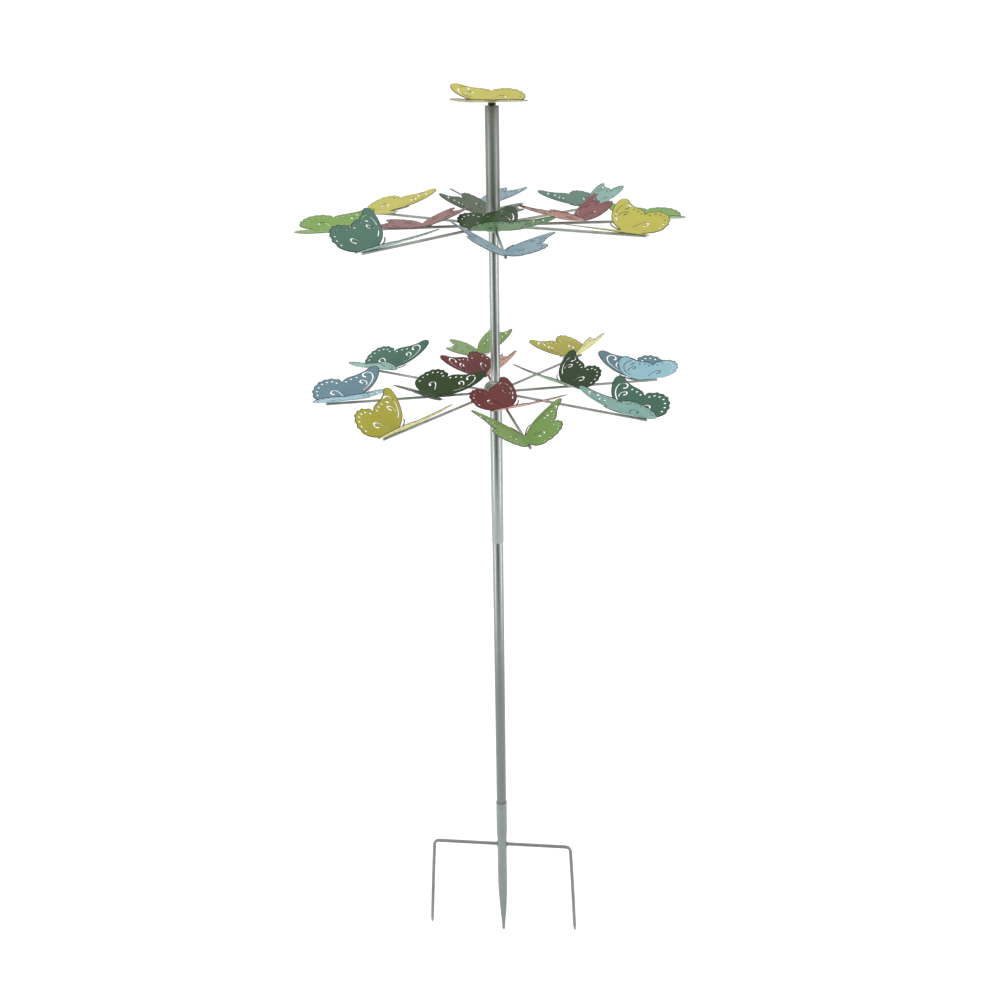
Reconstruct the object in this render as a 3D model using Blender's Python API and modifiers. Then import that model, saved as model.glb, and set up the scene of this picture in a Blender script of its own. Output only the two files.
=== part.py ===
"""Two-tier butterfly wind spinner on a garden stake.

The origin is on the pole's axis at ground level, where the step fork crosses the stake.
+Z is up and the fork lies along X. Everything is in metres.
"""

from math import cos, pi, radians, sin

import bmesh
import bpy
from mathutils import Matrix

# Driving dimensions: the fixed pole
STAKE_TIP_Z = -0.261
STAKE_R = 0.0107
STAKE_WALL = 0.0008
STAKE_FLAT_START_Z = -0.110
STAKE_TIP_FLATNESS = 0.55
STAKE_FLAT_RATE = 1.6
STAKE_FLOOR_Z = -0.022
STAKE_POINT = (
    (STAKE_R, -0.120),
    (0.0096, -0.152),
    (0.0072, -0.200),
    (0.0037, -0.240),
    (0.0035, -0.254),
    (0.0022, -0.2595),
)
SOCKET_R = 0.0120
SOCKET_WALL = 0.0007
SOCKET_BELL = 0.010
SOCKET_FOOT_Z = 0.030
SOCKET_TOP_Z = 0.122
MIDDLE_R = 0.0110
MIDDLE_TOP_Z = 0.850
POLE_WALL = 0.0012
UPPER_R = 0.0120
UPPER_FOOT_Z = 0.776
UPPER_TOP_Z = 1.066
SPINDLE_R = 0.0090
SPINDLE_FOOT_Z = 0.990
SPINDLE_TOP_Z = 1.588
SHOULDER_DEPTH = 0.036
SHOULDER_FLANGE = 0.005
WASHER_R = 0.0150
WASHER_BORE_R = 0.0096
WASHER_THICK = 0.0015
SPINDLE_PLUG_DEPTH = 0.028
SPINDLE_PLUG_FLANGE = 0.0015
PIN_DEPTH = 0.013
PIVOT_TOP_Z = SPINDLE_TOP_Z + 0.0045
PIN_R = 0.0020
BALL_R = 0.0040

# Driving dimensions: the step fork
FORK_R = 0.0038
FORK_HALF_WIDTH = 0.159
FORK_SPLAY = 0.014
FORK_BEND_R = 0.014
FORK_POINT_Z = -0.250
FORK_POINT_LENGTH = 0.020

# Driving dimensions: the two wheels
LOWER_WHEEL_Z = 1.092
UPPER_WHEEL_Z = 1.405
LOWER_TURN = radians(15.4)
UPPER_TURN = radians(10.2)
SPOKES = 8
SPOKE_R = 0.0025
SPOKE_START = 0.0165
SPOKE_END = 0.3225
HUB_R = 0.0230
HUB_DROP = 0.0085
HUB_RISE = 0.0190
SPOKE_HOLE_START = 0.0160
SLEEVE_R = 0.0124
SLEEVE_WALL = 0.0010
SLEEVE_PLUG_FLANGE = 0.0012
BUSHING_BORE_R = SPINDLE_R + 0.0004
LOWER_HUB_BORE_R = 0.0120
LOWER_BUSHING_PROUD = 0.002
UPPER_BUSHING_FLANGE = 0.0025
UPPER_BUSHING_DEPTH = 0.024
NUT_R = 0.0072
NUT_HEIGHT = 0.0045
NUT_BEVEL = 0.0004
SLEEVE_TOP_Z = 1.605

# Driving dimensions: a butterfly, cut from flat sheet and folded along its body
SHEET = 0.0010
FOLD_BEHIND = 0.034
FOLD_AHEAD = 0.016
OUTER_HEADING = pi
INNER_HEADING = radians(110)

# Half of the flat butterfly, as (forward, sideways) in millimetres from the point of the fold
# that lies between the wings' notches. It goes forward along the fold, out along the feeler
# and back, then round the forewing and the hindwing.
HALF_WING = [
    (-30, 0),
    (11, 0),
    (24, 2.5),
    (36, 7.5),
    (46, 17),
    (44.5, 18),
    (34, 10),
    (23, 5.5),
    (16, 4.5),
    (31, 12),
    (47, 24),
    (58, 40),
    (67, 59),
    (72, 76),
    (70, 85),
    (64, 87),
    (47, 77),
    (32, 70),
    (12, 63),
    (2, 58),
    (-3, 52),
    (-7, 60),
    (-14, 66),
    (-26, 68),
    (-42, 62),
    (-54, 50),
    (-61, 33),
    (-58, 18),
    (-50, 9),
    (-40, 4),
]

# How each spoke is set in its hub, for the spokes in turn: in degrees, how far it is turned from
# its even place and how far its end is lifted.
SPOKE_SETS = {
    "lower": ((0, 0.7), (0, 0.2), (-3, 0), (0, -0.4), (0, -0.4), (-1, -0.3), (0, 0), (0, 0.2)),
    "upper": ((0, 0.1), (0, 0.2), (0, 0), (0, 0), (0, -0.6), (0, -1.4), (-1.5, -0.8), (0, 1.4)),
}

# How each butterfly sits, for the spokes in turn: the distance of that point from the pole's
# axis in millimetres, then in degrees its turn from the common heading, how far its head is
# tipped up, and how far its left and right wings are bent up. They are bent by hand, so no
# two are quite the same.
OUTER_SEATS = {
    "lower": (
        (296, 3, 0, 47, 28),
        (304, 4, -2, 44, 25),
        (284, 4, -2, 47, 21),
        (282, 5, 3, 32, 25),
        (286, 0, 2, 25, 24),
        (295, 1, -2, 36, 31),
        (285, 0, -1, 22, 30),
        (290, 0, 1, 41, 27),
    ),
    "upper": (
        (286, -6, 0, 11, 10),
        (303, 0, -1, 35, 19),
        (288, 8, -1, 24, 26),
        (278, 7, 4, 20, 0),
        (290, -4, 0, 14, 1),
        (298, 3, 0, 34, 17),
        (296, 1, -1, 25, 11),
        (284, -3, 3, 8, 24),
    ),
}
INNER_SEATS = {
    "lower": (
        (138, 7, -1, 28, 29),
        (110, 37, -1, 46, 32),
        (124, 20, -4, 27, 20),
        (120, 14, -6, 23, 22),
    ),
    "upper": (
        (150, -1, -6, 20, 28),
        (130, 51, -3, 12, 30),
        (128, -21, 0, 23, 6),
        (90, 2, -4, 20, 21),
    ),
}
FINIAL_SEAT = (0, 7, 0, 4, 18)

GAP = 0.0003
ROUND = 24

BLUE = (0.52, 0.67, 0.70)
YELLOW = (0.78, 0.77, 0.35)
GREEN = (0.46, 0.66, 0.31)
TEAL = (0.40, 0.56, 0.49)
DARK_GREEN = (0.28, 0.38, 0.27)
DARK_RED = (0.45, 0.25, 0.24)
STEEL = (0.50, 0.54, 0.52)
BRASS = (0.65, 0.52, 0.28)
NYLON = (0.82, 0.82, 0.78)

OUTER_PAINTS = {
    "lower": (BLUE, YELLOW, GREEN, TEAL),
    "upper": (GREEN, TEAL, BLUE, YELLOW),
}
INNER_PAINTS = {
    "lower": (DARK_GREEN, DARK_RED),
    "upper": (DARK_RED, DARK_GREEN),
}

for old in list(bpy.data.objects):
    bpy.data.objects.remove(old, do_unlink=True)

spinner = bpy.data.collections.new("wind_spinner")
bpy.context.scene.collection.children.link(spinner)
cutters = bpy.data.collections.new("cutters")
bpy.context.scene.collection.children.link(cutters)


def linear(value):
    """The linear value of an sRGB colour channel."""
    return value / 12.92 if value <= 0.04045 else ((value + 0.055) / 1.055) ** 2.4


def finish(obj, colour, roughness=0.4, metallic=0.0):
    """Gives the object a material of its own."""
    material = bpy.data.materials.new(obj.name)
    material.use_nodes = True
    shader = material.node_tree.nodes["Principled BSDF"]
    shader.inputs["Base Color"].default_value = (*map(linear, colour), 1.0)
    shader.inputs["Roughness"].default_value = roughness
    shader.inputs["Metallic"].default_value = metallic
    obj.data.materials.clear()
    obj.data.materials.append(material)


def add_object(name, mesh, group=spinner):
    obj = bpy.data.objects.new(name, mesh)
    group.objects.link(obj)
    return obj


def turned(name, profile, closed=False, steps=ROUND, group=spinner):
    """A solid of revolution about Z from a profile of (radius, height) points.

    The profile runs down its outer side. A closed profile makes a ring or a tube.
    """
    mesh = bpy.data.meshes.new(name)
    points = [(radius, 0.0, height) for radius, height in profile]
    edges = [(i, i + 1) for i in range(len(points) - 1)]
    if closed:
        edges.append((len(points) - 1, 0))
    mesh.from_pydata(points, edges, [])
    obj = add_object(name, mesh, group)
    screw = obj.modifiers.new("turn", "SCREW")
    screw.steps = steps
    screw.render_steps = steps
    screw.use_merge_vertices = True
    screw.merge_threshold = 0.00001
    screw.use_smooth_shade = True
    return obj


def tube(name, outer, inner, foot, top, steps=ROUND):
    profile = [(inner, foot), (inner, top), (outer, top), (outer, foot)]
    return turned(name, profile, closed=True, steps=steps)


def as_mesh(obj):
    """Replaces a curve or a modified object by the mesh that it makes, its caps welded."""
    bpy.context.view_layer.update()
    graph = bpy.context.evaluated_depsgraph_get()
    mesh = bpy.data.meshes.new_from_object(obj.evaluated_get(graph))
    work = bmesh.new()
    work.from_mesh(mesh)
    bmesh.ops.remove_doubles(work, verts=work.verts, dist=0.00001)
    work.to_mesh(mesh)
    work.free()
    name = obj.name
    place = obj.matrix_world.copy()
    group = obj.users_collection[0]
    bpy.data.objects.remove(obj, do_unlink=True)
    made = add_object(name, mesh, group)
    made.matrix_world = place
    return made


def cut(obj, cutter):
    cutter.hide_render = True
    cutter.display_type = "WIRE"
    boolean = obj.modifiers.new(cutter.name, "BOOLEAN")
    boolean.operation = "DIFFERENCE"
    boolean.object = cutter


def rod_between(name, radius, start, end, sides, group=spinner):
    """A plain round bar along X, between two distances from the axis."""
    work = bmesh.new()
    place = Matrix.Translation(((start + end) / 2, 0, 0)) @ Matrix.Rotation(pi / 2, 4, "Y")
    bmesh.ops.create_cone(
        work,
        cap_ends=True,
        segments=sides,
        radius1=radius,
        radius2=radius,
        depth=end - start,
        matrix=place,
    )
    mesh = bpy.data.meshes.new(name)
    work.to_mesh(mesh)
    work.free()
    mesh.shade_smooth()
    return add_object(name, mesh, group)


# ---------------------------------------------------------------- fixed pole

def ground_stake():
    """A tube belled at its top, closed below the fork, then squashed flat and pointed."""
    inner = STAKE_R - STAKE_WALL
    socket_inner = SOCKET_R - SOCKET_WALL
    profile = [
        (0.0, STAKE_FLOOR_Z),
        (inner, STAKE_FLOOR_Z),
        (inner, SOCKET_FOOT_Z - SOCKET_BELL),
        (socket_inner, SOCKET_FOOT_Z),
        (socket_inner, SOCKET_TOP_Z),
        (SOCKET_R, SOCKET_TOP_Z),
        (SOCKET_R, SOCKET_FOOT_Z),
        (STAKE_R, SOCKET_FOOT_Z - SOCKET_BELL),
        *STAKE_POINT,
        (0.0, STAKE_TIP_Z),
    ]
    stake = as_mesh(turned("ground_stake", profile))
    for vertex in stake.data.vertices:
        depth = max(0.0, STAKE_FLAT_START_Z - vertex.co.z) / (STAKE_FLAT_START_Z - STAKE_TIP_Z)
        vertex.co.y *= 1.0 - STAKE_TIP_FLATNESS * min(1.0, STAKE_FLAT_RATE * depth)
    reach = 2 * STAKE_R
    hole = rod_between("fork_hole", FORK_R + GAP, -reach, reach, 12, cutters)
    cut(stake, hole)
    finish(stake, STEEL, 0.45, 0.6)


def step_fork():
    """A bar through the stake, bent down at both ends into prongs that splay a little."""
    curve = bpy.data.curves.new("step_fork", "CURVE")
    curve.dimensions = "3D"
    curve.bevel_depth = FORK_R
    curve.bevel_resolution = 1
    curve.use_fill_caps = True
    spline = curve.splines.new("POLY")
    half = []
    steps = 4
    lean = FORK_SPLAY / -FORK_POINT_Z
    for i in range(steps + 1):
        angle = pi / 2 * i / steps
        half.append((
            FORK_HALF_WIDTH - FORK_BEND_R * (1 - sin(angle)),
            -FORK_BEND_R * (1 - cos(angle)),
            1.0,
        ))
    for height, size in ((FORK_POINT_Z + FORK_POINT_LENGTH, 1.0), (FORK_POINT_Z, 0.30)):
        half.append((FORK_HALF_WIDTH - lean * height, height, size))
    whole = [(-x, z, size) for x, z, size in reversed(half)] + half
    spline.points.add(len(whole) - 1)
    for point, (x, z, size) in zip(spline.points, whole):
        point.co = (x, 0.0, z, 1.0)
        point.radius = size
    fork = add_object("step_fork", curve)
    fork = as_mesh(fork)
    fork.data.shade_smooth()
    finish(fork, STEEL, 0.45, 0.6)


def pole_sections():
    middle = tube("pole_middle", MIDDLE_R, MIDDLE_R - POLE_WALL, SOCKET_FOOT_Z + GAP, MIDDLE_TOP_Z)
    finish(middle, STEEL, 0.35, 0.6)
    upper = tube("pole_upper", UPPER_R, MIDDLE_R + GAP, UPPER_FOOT_Z, UPPER_TOP_Z)
    finish(upper, STEEL, 0.35, 0.6)


def shoulder():
    """The plug in the upper section's mouth, with the washer that the lower wheel turns on."""
    bore = SPINDLE_R + GAP
    foot = UPPER_TOP_Z - SHOULDER_DEPTH
    flange_foot = UPPER_TOP_Z + GAP
    flange_top = flange_foot + SHOULDER_FLANGE
    profile = [
        (bore, foot),
        (bore, flange_top),
        (UPPER_R, flange_top),
        (UPPER_R, flange_foot),
        (MIDDLE_R, flange_foot),
        (MIDDLE_R, foot),
    ]
    finish(turned("shoulder_plug", profile, closed=True), STEEL, 0.4, 0.8)
    washer_foot = flange_top + GAP
    washer = tube("thrust_washer", WASHER_R, WASHER_BORE_R, washer_foot, washer_foot + WASHER_THICK)
    finish(washer, BRASS, 0.3, 1.0)


def spindle_parts():
    spindle = tube("spindle_tube", SPINDLE_R, SPINDLE_R - POLE_WALL, SPINDLE_FOOT_Z, SPINDLE_TOP_Z)
    finish(spindle, STEEL, 0.35, 0.6)
    plug_r = SPINDLE_R - POLE_WALL - GAP
    plug_foot = SPINDLE_TOP_Z - SPINDLE_PLUG_DEPTH
    flange_foot = SPINDLE_TOP_Z + GAP
    top = flange_foot + SPINDLE_PLUG_FLANGE
    hole_r = PIN_R + GAP
    hole_floor = SPINDLE_TOP_Z - PIN_DEPTH
    profile = [
        (0.0, hole_floor),
        (hole_r, hole_floor),
        (hole_r, top),
        (SPINDLE_R, top),
        (SPINDLE_R, flange_foot),
        (plug_r, flange_foot),
        (plug_r, plug_foot),
        (0.0, plug_foot),
    ]
    finish(turned("spindle_plug", profile), STEEL, 0.4, 0.8)
    pin_foot = hole_floor + GAP
    pin = [(0.0, PIVOT_TOP_Z), (PIN_R, PIVOT_TOP_Z), (PIN_R, pin_foot), (0.0, pin_foot)]
    finish(turned("pivot_pin", pin, steps=12), STEEL, 0.2, 1.0)
    mesh = bpy.data.meshes.new("bearing_ball")
    work = bmesh.new()
    bmesh.ops.create_uvsphere(work, u_segments=12, v_segments=8, radius=BALL_R)
    work.to_mesh(mesh)
    work.free()
    mesh.shade_smooth()
    ball = add_object("bearing_ball", mesh)
    ball.location.z = PIVOT_TOP_Z + GAP + BALL_R
    finish(ball, STEEL, 0.1, 1.0)


ground_stake()
step_fork()
pole_sections()
shoulder()
spindle_parts()


# ---------------------------------------------------------------- wheels

def axis_empty(name, height):
    """The empty on a wheel's axis that all of the wheel's parts hang from."""
    empty = bpy.data.objects.new(name, None)
    empty.location.z = height
    spinner.objects.link(empty)
    return empty


def hang(obj, empty, height=0.0):
    """Puts an object made about the origin on the wheel's axis, at a height over its spokes."""
    obj.parent = empty
    obj.location.z += height


def spoke_place(tier, turn, k):
    """The matrix that takes +X out along a spoke."""
    yaw, lift = SPOKE_SETS[tier][k]
    angle = turn + k * 2 * pi / SPOKES + radians(yaw)
    return Matrix.Rotation(angle, 4, "Z") @ Matrix.Rotation(-radians(lift), 4, "Y")


def hub(tier, empty, bore, turn):
    """A domed boss with a blind hole for each spoke."""
    dome_steps = 5
    lip = bore + 0.0015
    dome_foot = 0.0035
    chamfer = 0.001
    profile = [(bore, -HUB_DROP), (bore, HUB_RISE)]
    for i in range(dome_steps + 1):
        angle = pi / 2 * i / dome_steps
        out = lip + (HUB_R - lip) * sin(angle)
        profile.append((out, dome_foot + (HUB_RISE - dome_foot) * cos(angle)))
    profile.append((HUB_R, -HUB_DROP + chamfer))
    profile.append((HUB_R - chamfer, -HUB_DROP))
    body = as_mesh(turned(f"{tier}_hub", profile, closed=True, steps=32))
    holes = bmesh.new()
    hole_r = SPOKE_R + 1.3 * GAP
    hole_end = HUB_R + 0.004
    middle = Matrix.Translation(((SPOKE_HOLE_START + hole_end) / 2, 0, 0))
    for k in range(SPOKES):
        place = spoke_place(tier, turn, k) @ middle @ Matrix.Rotation(pi / 2, 4, "Y")
        bmesh.ops.create_cone(
            holes,
            cap_ends=True,
            segments=8,
            radius1=hole_r,
            radius2=hole_r,
            depth=hole_end - SPOKE_HOLE_START,
            matrix=place,
        )
    mesh = bpy.data.meshes.new(f"{tier}_spoke_holes")
    holes.to_mesh(mesh)
    holes.free()
    cutter = add_object(f"{tier}_spoke_holes", mesh, cutters)
    hang(body, empty)
    hang(cutter, empty)
    cut(body, cutter)
    finish(body, STEEL, 0.4, 0.6)


def spoke(tier, number, empty, place):
    bar = rod_between(f"{tier}_spoke_{number}", SPOKE_R, SPOKE_START, SPOKE_END, 8)
    bar.matrix_local = place
    hang(bar, empty)
    finish(bar, STEEL, 0.4, 0.6)


def wing_sheet():
    """One wing as a flat filled outline, in metres, with its fold edge on the X axis."""
    curve = bpy.data.curves.new("wing", "CURVE")
    curve.dimensions = "2D"
    curve.fill_mode = "BOTH"
    spline = curve.splines.new("POLY")
    spline.use_cyclic_u = True
    spline.points.add(len(HALF_WING) - 1)
    for point, (forward, sideways) in zip(spline.points, HALF_WING):
        point.co = (forward / 1000, sideways / 1000, 0.0, 1.0)
    flat = as_mesh(add_object("wing", curve))
    mesh = flat.data
    bpy.data.objects.remove(flat, do_unlink=True)
    return mesh


def folded_sheet(name, left_fold, right_fold):
    """Both wings in one sheet, each bent up from the fold by its own angle."""
    work = bmesh.new()
    work.from_mesh(WING)
    for vertex in work.verts:
        if abs(vertex.co.y) < 0.00001:
            vertex.co.y = 0.0
    left = list(work.verts)
    bmesh.ops.mirror(work, geom=work.verts[:] + work.edges[:] + work.faces[:], axis="Y")
    known = set(left)
    right = [vertex for vertex in work.verts if vertex not in known]
    bmesh.ops.rotate(work, verts=left, matrix=Matrix.Rotation(left_fold, 3, "X"))
    bmesh.ops.rotate(work, verts=right, matrix=Matrix.Rotation(-right_fold, 3, "X"))
    bmesh.ops.remove_doubles(work, verts=work.verts, dist=0.00001)
    bmesh.ops.recalc_face_normals(work, faces=work.faces)
    mesh = bpy.data.meshes.new(name)
    work.to_mesh(mesh)
    work.free()
    return mesh


def butterfly(name, empty, under, heading, seat, height, colour):
    """A folded butterfly whose fold rests at a height over whatever lies under it."""
    distance, turn, tip, left_fold, right_fold = seat
    obj = add_object(name, folded_sheet(name, radians(left_fold), radians(right_fold)))
    wall = obj.modifiers.new("sheet", "SOLIDIFY")
    wall.thickness = SHEET
    wall.offset = 0.0
    wall.use_even_offset = True
    way = heading + radians(turn)
    dip = max(FOLD_BEHIND * sin(radians(tip)), FOLD_AHEAD * sin(radians(-tip))) * abs(cos(way))
    out = Matrix.Translation((distance / 1000, 0, height + GAP + SHEET * 0.6 + dip))
    lie = Matrix.Rotation(way, 4, "Z") @ Matrix.Rotation(-radians(tip), 4, "Y")
    obj.matrix_local = under @ out @ lie
    hang(obj, empty)
    finish(obj, colour, 0.35, 0.2)


WING = wing_sheet()


def wheel(tier, height, turn, bore):
    """A hub with its spokes: a butterfly on each spoke's end, and one half way on every other."""
    empty = axis_empty(f"{tier}_axis", height)
    hub(tier, empty, bore, turn)
    for k in range(SPOKES):
        place = spoke_place(tier, turn, k)
        spoke(tier, k + 1, empty, place)
        paint = OUTER_PAINTS[tier][k % 4]
        name = f"{tier}_outer_butterfly_{k + 1}"
        seat = OUTER_SEATS[tier][k]
        butterfly(name, empty, place, OUTER_HEADING, seat, SPOKE_R, paint)
        if k % 2 == 0:
            paint = INNER_PAINTS[tier][k // 2 % 2]
            name = f"{tier}_inner_butterfly_{k // 2 + 1}"
            seat = INNER_SEATS[tier][k // 2]
            butterfly(name, empty, place, INNER_HEADING, seat, SPOKE_R, paint)
    return empty


def lower_wheel():
    empty = wheel("lower", LOWER_WHEEL_Z, LOWER_TURN, LOWER_HUB_BORE_R)
    bush_r = LOWER_HUB_BORE_R - GAP
    bush = tube("lower_bushing", bush_r, BUSHING_BORE_R, -HUB_DROP, HUB_RISE + LOWER_BUSHING_PROUD)
    hang(bush, empty)
    finish(bush, NYLON, 0.5)


def upper_wheel():
    empty = wheel("upper", UPPER_WHEEL_Z, UPPER_TURN, SLEEVE_R + GAP)
    foot = -HUB_DROP
    top = SLEEVE_TOP_Z - UPPER_WHEEL_Z
    inner = SLEEVE_R - SLEEVE_WALL
    sleeve = tube("upper_sleeve", SLEEVE_R, inner, foot, top)
    hang(sleeve, empty)
    finish(sleeve, STEEL, 0.35, 0.6)
    bush_foot = foot - GAP - UPPER_BUSHING_FLANGE
    bush_top = foot + UPPER_BUSHING_DEPTH
    profile = [
        (BUSHING_BORE_R, bush_foot),
        (BUSHING_BORE_R, bush_top),
        (inner - GAP, bush_top),
        (inner - GAP, foot - GAP),
        (SLEEVE_R, foot - GAP),
        (SLEEVE_R, bush_foot),
    ]
    bush = turned("upper_bushing", profile, closed=True)
    hang(bush, empty)
    finish(bush, NYLON, 0.5)
    ball_top = PIVOT_TOP_Z + GAP + 2 * BALL_R - UPPER_WHEEL_Z
    plug_foot = SPINDLE_TOP_Z + SPINDLE_PLUG_FLANGE + 5 * GAP - UPPER_WHEEL_Z
    plug_top = top + GAP + SLEEVE_PLUG_FLANGE
    cup = BALL_R + 2 * GAP
    profile = [
        (0.0, plug_top),
        (SLEEVE_R, plug_top),
        (SLEEVE_R, top + GAP),
        (inner - GAP, top + GAP),
        (inner - GAP, plug_foot),
        (cup, plug_foot),
        (cup, ball_top + GAP),
        (0.0, ball_top + GAP),
    ]
    plug = turned("sleeve_plug", profile)
    hang(plug, empty)
    finish(plug, STEEL, 0.4, 0.6)
    finial(empty, plug_top + GAP)


def finial(empty, foot):
    """The nut on top of the sleeve, and the butterfly fixed on it."""
    mesh = bpy.data.meshes.new("finial_nut")
    work = bmesh.new()
    bmesh.ops.create_cone(
        work,
        cap_ends=True,
        segments=6,
        radius1=NUT_R,
        radius2=NUT_R,
        depth=NUT_HEIGHT,
        matrix=Matrix.Translation((0, 0, NUT_HEIGHT / 2)),
    )
    work.to_mesh(mesh)
    work.free()
    nut = add_object("finial_nut", mesh)
    bevel = nut.modifiers.new("worn edges", "BEVEL")
    bevel.width = NUT_BEVEL
    bevel.segments = 1
    hang(nut, empty, foot)
    finish(nut, (0.16, 0.17, 0.15), 0.5, 0.8)
    seat_height = foot + NUT_HEIGHT
    flat = Matrix.Identity(4)
    butterfly("finial_butterfly", empty, flat, OUTER_HEADING, FINIAL_SEAT, seat_height, YELLOW)


lower_wheel()
upper_wheel()
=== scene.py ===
"""A two-tier butterfly wind spinner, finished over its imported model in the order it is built.

The pole's axis is Z, the step fork lies along X and ground level is at Z 0. Metres.
"""

from math import atan2, cos, hypot, pi, radians, sin

import bmesh
import bpy
from mathutils import Matrix, Vector


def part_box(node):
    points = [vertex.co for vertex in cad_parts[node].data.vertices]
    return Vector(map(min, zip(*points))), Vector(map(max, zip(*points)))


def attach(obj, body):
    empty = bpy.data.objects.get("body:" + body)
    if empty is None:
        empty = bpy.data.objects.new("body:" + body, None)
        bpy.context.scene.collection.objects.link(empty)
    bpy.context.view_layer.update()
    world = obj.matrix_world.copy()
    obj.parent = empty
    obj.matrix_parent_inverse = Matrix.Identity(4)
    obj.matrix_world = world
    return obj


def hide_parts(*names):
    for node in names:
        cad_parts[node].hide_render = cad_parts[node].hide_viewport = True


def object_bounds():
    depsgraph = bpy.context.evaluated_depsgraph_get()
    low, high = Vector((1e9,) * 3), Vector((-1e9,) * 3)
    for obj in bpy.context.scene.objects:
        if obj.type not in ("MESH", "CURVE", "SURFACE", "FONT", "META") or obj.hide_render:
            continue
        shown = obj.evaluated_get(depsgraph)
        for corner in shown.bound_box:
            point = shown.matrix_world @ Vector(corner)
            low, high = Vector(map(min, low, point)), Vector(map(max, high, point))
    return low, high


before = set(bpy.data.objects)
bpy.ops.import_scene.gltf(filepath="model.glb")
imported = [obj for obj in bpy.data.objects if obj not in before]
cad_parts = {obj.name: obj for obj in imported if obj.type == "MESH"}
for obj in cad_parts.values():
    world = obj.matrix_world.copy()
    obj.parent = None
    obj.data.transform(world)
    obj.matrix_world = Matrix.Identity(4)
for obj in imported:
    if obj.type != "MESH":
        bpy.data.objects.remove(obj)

cad_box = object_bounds()


# ------------------------------------------------------------------ studio
# A wide floor of white card with a white room round it, lit by one big soft light above and a
# tall strip light at each side, with a dark screen behind the camera. The camera looks down at
# the wheels. None of this is part of the spinner.

FLOOR_Z = cad_box[0].z - 0.0005
CAMERA_TURN = radians(5.5)
CAMERA_DISTANCE = 1.8928
CAMERA_Z = 1.6628
CAMERA_DIP = radians(22.5)
CAMERA_ROLL = radians(-0.8)


def linear(colour):
    """A screen colour, 0 to 255 a channel, as the linear colour that a shader takes."""
    channels = [value / 255 for value in colour]
    return tuple(
        value / 12.92 if value <= 0.04045 else ((value + 0.055) / 1.055) ** 2.4
        for value in channels
    )


def new_finish(name, colour, roughness, metallic=0.0):
    """A material with its nodes, its links and its one shader."""
    material = bpy.data.materials.new(name)
    material.use_nodes = True
    nodes = material.node_tree.nodes
    shader = nodes["Principled BSDF"]
    shader.inputs["Base Color"].default_value = (*linear(colour), 1.0)
    shader.inputs["Roughness"].default_value = roughness
    shader.inputs["Metallic"].default_value = metallic
    return material, nodes, material.node_tree.links, shader


def set_stage():
    mesh = bpy.data.meshes.new("card_floor")
    work = bmesh.new()
    place = Matrix.Translation((0, 0, FLOOR_Z))
    bmesh.ops.create_circle(work, cap_ends=True, segments=96, radius=40.0, matrix=place)
    work.to_mesh(mesh)
    work.free()
    floor = bpy.data.objects.new("card_floor", mesh)
    bpy.context.scene.collection.objects.link(floor)
    card, nodes, links, shader = new_finish("white_card", (252, 252, 252), 0.9)
    shader.inputs["Specular IOR Level"].default_value = 0.1
    floor.data.materials.append(card)
    world = bpy.data.worlds.new("white_room")
    bpy.context.scene.world = world
    world.use_nodes = True
    world.node_tree.nodes["Background"].inputs["Color"].default_value = (1.0, 1.0, 1.0, 1.0)
    world.node_tree.nodes["Background"].inputs["Strength"].default_value = 1.15


def add_screen():
    """A dark screen behind the camera, for the pole's bright metal to reflect in its middle."""
    mesh = bpy.data.meshes.new("dark_screen")
    work = bmesh.new()
    size = Matrix.Diagonal((1.3, 1.3, 1.0, 1.0))
    place = Matrix.Translation((0.25, -2.7, FLOOR_Z + 1.35)) @ Matrix.Rotation(pi / 2, 4, "X")
    bmesh.ops.create_grid(work, x_segments=1, y_segments=1, size=1.0, matrix=place @ size)
    work.to_mesh(mesh)
    work.free()
    screen = bpy.data.objects.new("dark_screen", mesh)
    bpy.context.scene.collection.objects.link(screen)
    screen.data.materials.append(new_finish("dark_cloth", (104, 104, 104), 0.9)[0])
    screen.visible_camera = False


def soft_light(name, place, target, size, power, height=None):
    """A round light, or an upright strip if it is given a height."""
    light = bpy.data.lights.new(name, "AREA")
    light.shape = "RECTANGLE" if height else "DISK"
    light.size = size
    light.size_y = height or size
    light.energy = power
    lamp = bpy.data.objects.new(name, light)
    lamp.location = place
    lamp.rotation_mode = "QUATERNION"
    lamp.rotation_quaternion = (Vector(target) - Vector(place)).to_track_quat("-Z", "Y")
    bpy.context.scene.collection.objects.link(lamp)


def set_camera():
    camera = bpy.data.objects.new("camera", bpy.data.cameras.new("camera"))
    camera.data.sensor_width = 36.0
    camera.data.lens = 36.9
    camera.data.shift_x = 0.0028
    camera.data.shift_y = -0.0053
    camera.data.clip_end = 100.0
    stand = Vector((0.0, -CAMERA_DISTANCE, CAMERA_Z))
    turn = Matrix.Rotation(CAMERA_TURN, 4, "Z")
    aim = Matrix.Rotation(pi / 2 - CAMERA_DIP, 4, "X") @ Matrix.Rotation(CAMERA_ROLL, 4, "Z")
    camera.matrix_world = turn @ Matrix.Translation(stand) @ aim
    bpy.context.scene.collection.objects.link(camera)
    bpy.context.scene.camera = camera


set_stage()
set_camera()
add_screen()
soft_light("overhead", (-0.8, -0.6, 4.5), (0, 0, 1.0), 3.0, 45.0)
soft_light("right_strip", (1.90, -0.63, 0.90), (0, 0, 0.90), 0.30, 12.0, 2.3)
soft_light("left_strip", (-1.74, -0.98, 0.90), (0, 0, 0.90), 0.30, 12.0, 2.3)
bpy.context.scene.view_settings.view_transform = "Standard"


# ------------------------------------------------------------------ ground stake
# The lowest length of tube, swaged wider at its mouth so that the pole stands in it and drawn
# down to a blunt, slightly flattened point. It is steel with a matt silver-grey paint, rubbed
# and soiled towards the point.

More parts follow.
